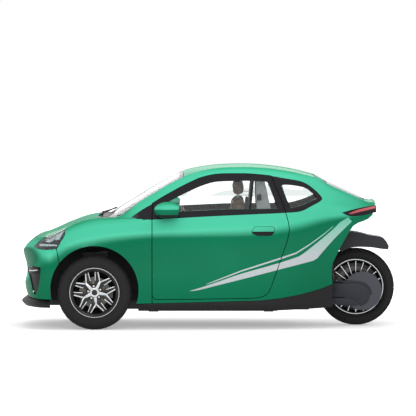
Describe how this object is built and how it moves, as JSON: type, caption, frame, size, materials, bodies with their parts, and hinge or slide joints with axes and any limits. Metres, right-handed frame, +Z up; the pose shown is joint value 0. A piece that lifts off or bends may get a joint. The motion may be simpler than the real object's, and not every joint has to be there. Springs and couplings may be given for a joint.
{
  "type": "three wheeled car",
  "caption": "Small two-door hatchback car on two steered front wheels and a single rear wheel on a swingarm, with opening doors, hood and tailgate.",
  "frame": {"origin": "on the ground under the middle of the whole box", "axes": "+X forward, +Y to the left, +Z up"},
  "size_m": [3.114, 1.7224, 1.346],
  "materials": {
    "body_paint": "gloss metallic green",
    "black_plastic": "satin",
    "floor_steel": "satin",
    "frame_steel": "satin",
    "hinge_steel": "satin",
    "battery_case": "satin",
    "clear_glass": "polished",
    "tinted_glass": "polished",
    "tail_lamp_lens": "gloss",
    "headlamp_lens": "gloss",
    "cast_upright": "satin",
    "tyre_rubber": "matte",
    "rim_alloy": "polished faces",
    "arm_paint": "satin",
    "cover_plastic": "satin",
    "guard_plastic": "satin",
    "seat_leather": "matte",
    "trim_plastic": "matte",
    "wheel_rim_leather": "satin"
  },
  "bodies": {
    "root": {"floor_tub": "floor_steel", "front_subframe": "frame_steel", "battery_pack": "battery_case", "front_bumper": "body_paint", "front_lip": "black_plastic", "cowl_panel": "black_plastic", "wipers": "black_plastic", "windshield": "clear_glass", "roof_panel": "body_paint", "left_fender": "body_paint", "right_fender": "body_paint", "left_body_side": "body_paint", "right_body_side": "body_paint", "quarter_glasses": "tinted_glass", "tail_lamps": "tail_lamp_lens", "rear_panel": "body_paint", "headlamps": "headlamp_lens", "side_sills": "black_plastic", "wheel_arch_liners": "black_plastic", "rear_wheel_housing": "black_plastic", "front_suspension": "frame_steel", "swingarm": "arm_paint", "drive_cover": "cover_plastic", "rear_mudguard": "guard_plastic", "rear_shocks": "frame_steel", "hinge_pins": "hinge_steel", "left_seat": "seat_leather", "right_seat": "seat_leather", "dashboard": "trim_plastic", "steering_column": "frame_steel"},
    "left_door": {"left_door": "body_paint", "left_door_glass": "clear_glass", "left_mirror": "body_paint", "left_door_hinges": "hinge_steel"},
    "right_door": {"right_door": "body_paint", "right_door_glass": "clear_glass", "right_mirror": "body_paint", "right_door_hinges": "hinge_steel"},
    "hood": {"hood": "body_paint", "hood_hinges": "hinge_steel"},
    "tailgate": {"hatch": "body_paint", "rear_glass": "tinted_glass", "tailgate_hinges": "hinge_steel"},
    "left_upright": {"left_knuckle": "cast_upright"},
    "right_upright": {"right_knuckle": "cast_upright"},
    "front_left_wheel": {"front_left_tyre": "tyre_rubber", "front_left_rim": "rim_alloy"},
    "front_right_wheel": {"front_right_tyre": "tyre_rubber", "front_right_rim": "rim_alloy"},
    "rear_wheel": {"rear_tyre": "tyre_rubber", "rear_rim": "rim_alloy"},
    "steering_wheel": {"steering_wheel": "wheel_rim_leather"}
  },
  "joints": [
    {"name": "steer_left", "type": "hinge", "parent": "root", "child": "left_upright", "pos_m": [0.935, 0.6, 0.305], "axis": [0, 0, 1], "range_deg": [-33, 33]},
    {"name": "steer_right", "type": "hinge", "parent": "root", "child": "right_upright", "pos_m": [0.935, -0.6, 0.305], "axis": [0, 0, 1], "range_deg": [-33, 33]},
    {"name": "steering_wheel_turn", "type": "hinge", "parent": "root", "child": "steering_wheel", "pos_m": [0.15, 0.29, 0.83], "axis": [-0.9063, 0, 0.4226], "range_deg": [-540, 540]},
    {"name": "front_left_spin", "type": "hinge", "parent": "left_upright", "child": "front_left_wheel", "pos_m": [0.935, 0.65, 0.305], "axis": [0, 1, 0], "continuous": true},
    {"name": "front_right_spin", "type": "hinge", "parent": "right_upright", "child": "front_right_wheel", "pos_m": [0.935, -0.65, 0.305], "axis": [0, 1, 0], "continuous": true},
    {"name": "rear_spin", "type": "hinge", "parent": "root", "child": "rear_wheel", "pos_m": [-1.236, 0, 0.321], "axis": [0, 1, 0], "continuous": true},
    {"name": "left_door_swing", "type": "hinge", "parent": "root", "child": "left_door", "pos_m": [0.43, 0.719, 0.6], "axis": [0, 0, -1], "range_deg": [0, 65]},
    {"name": "right_door_swing", "type": "hinge", "parent": "root", "child": "right_door", "pos_m": [0.43, -0.719, 0.6], "axis": [0, 0, 1], "range_deg": [0, 65]},
    {"name": "hood_lift", "type": "hinge", "parent": "root", "child": "hood", "pos_m": [0.905, 0, 0.914], "axis": [0, -1, 0], "range_deg": [0, 55]},
    {"name": "tailgate_lift", "type": "hinge", "parent": "root", "child": "tailgate", "pos_m": [-0.886, 0, 1.25], "axis": [0, 1, 0], "range_deg": [0, 60]}
  ],
  "couplings": [
    {"joint": "steer_right", "follows": "steer_left", "ratio": 1},
    {"joint": "steering_wheel_turn", "follows": "steer_left", "ratio": 16.354}
  ]
}
